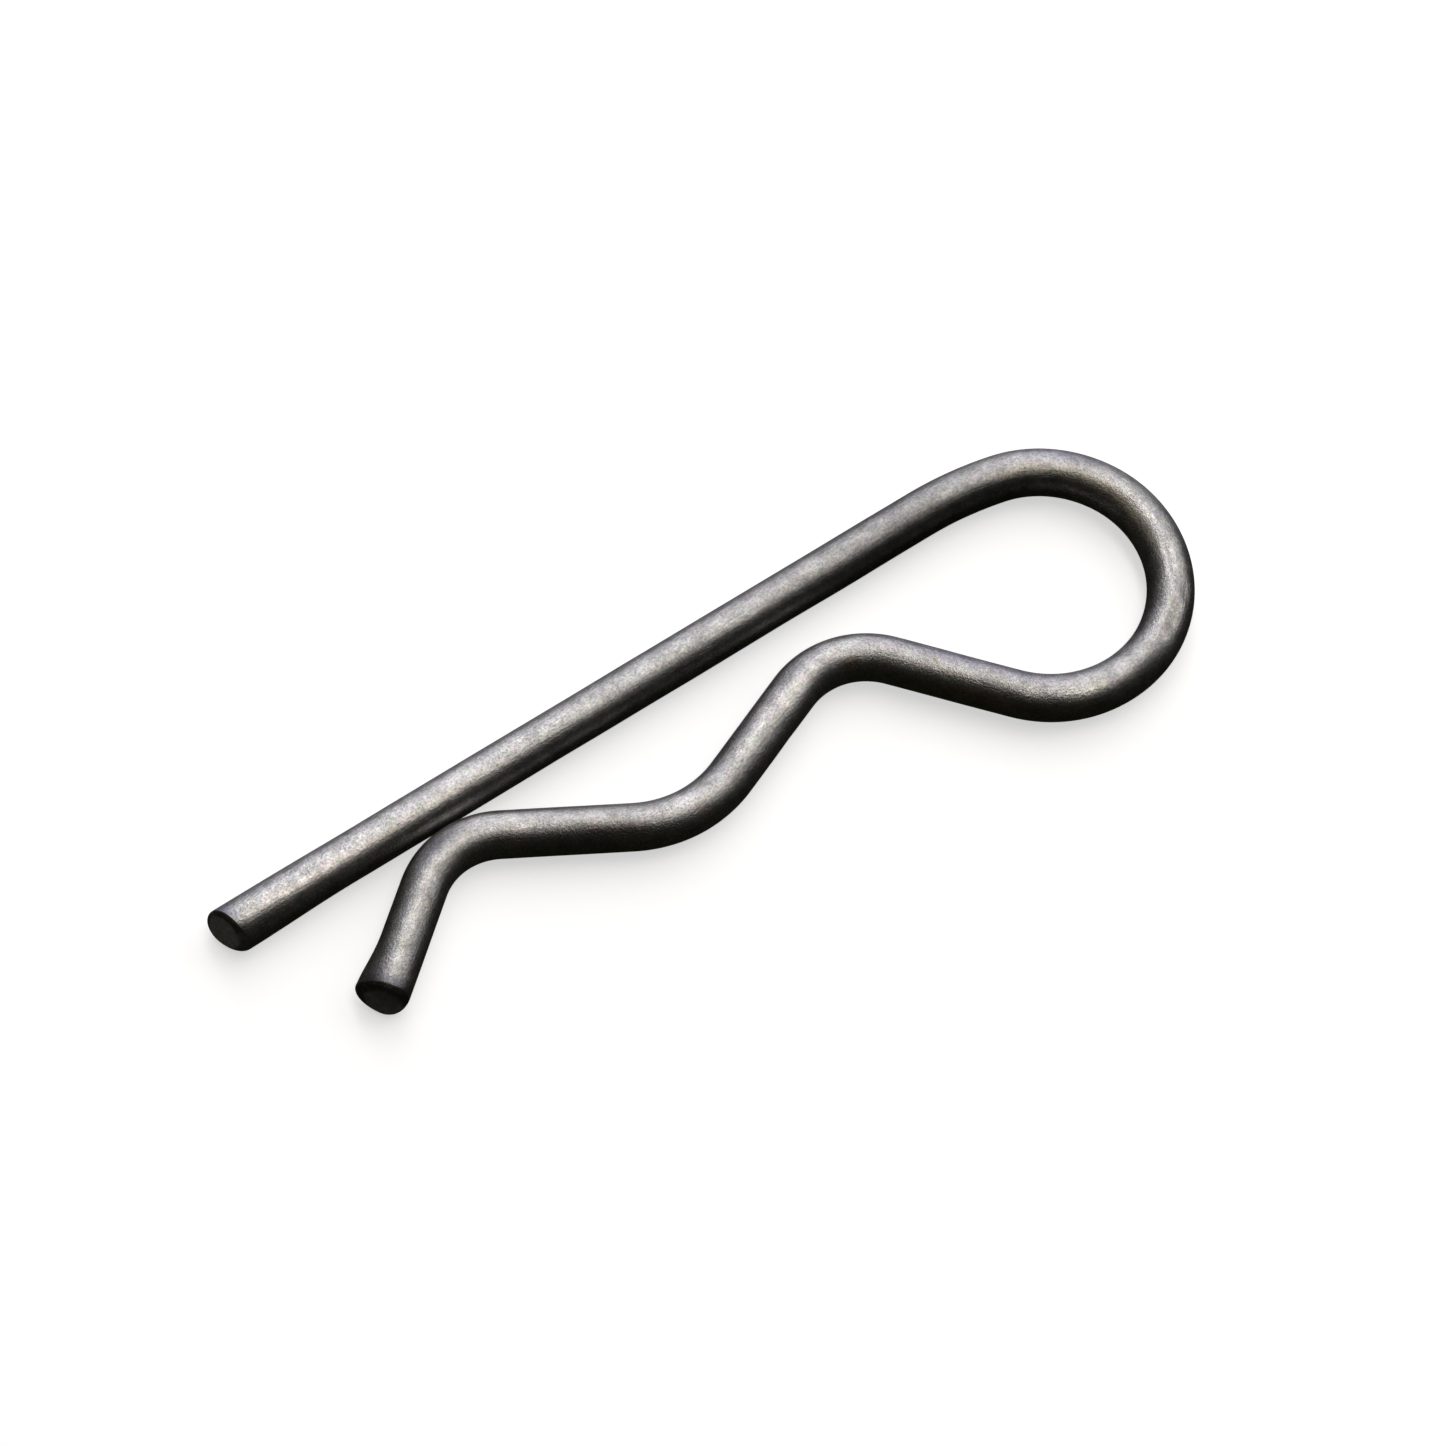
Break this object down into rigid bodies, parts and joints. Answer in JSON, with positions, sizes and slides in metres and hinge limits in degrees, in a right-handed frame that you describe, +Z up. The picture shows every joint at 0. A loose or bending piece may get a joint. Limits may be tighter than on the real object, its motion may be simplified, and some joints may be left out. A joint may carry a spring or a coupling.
{
  "type": "spring cotter pin",
  "caption": "Hairpin spring cotter pin bent from one round wire: a straight leg for a cross hole, a wavy leg that grips the shaft, and a round bow to pull it by.",
  "frame": {"origin": "centre of the round bow, on the plane that the clip lies on", "axes": "+Z up, square to the clip's plane and along a shaft held in the clip; +X along the straight leg from its cut end towards the bow; the wavy leg lies on the -Y side"},
  "size_m": [0.0648, 0.0188, 0.003],
  "materials": {
    "spring_steel": "bare drawn spring wire, satin grey, with fine lengthwise drawing marks and dull sheared ends"
  },
  "bodies": {
    "root": {"wire_clip": "spring_steel"}
  },
  "joints": []
}
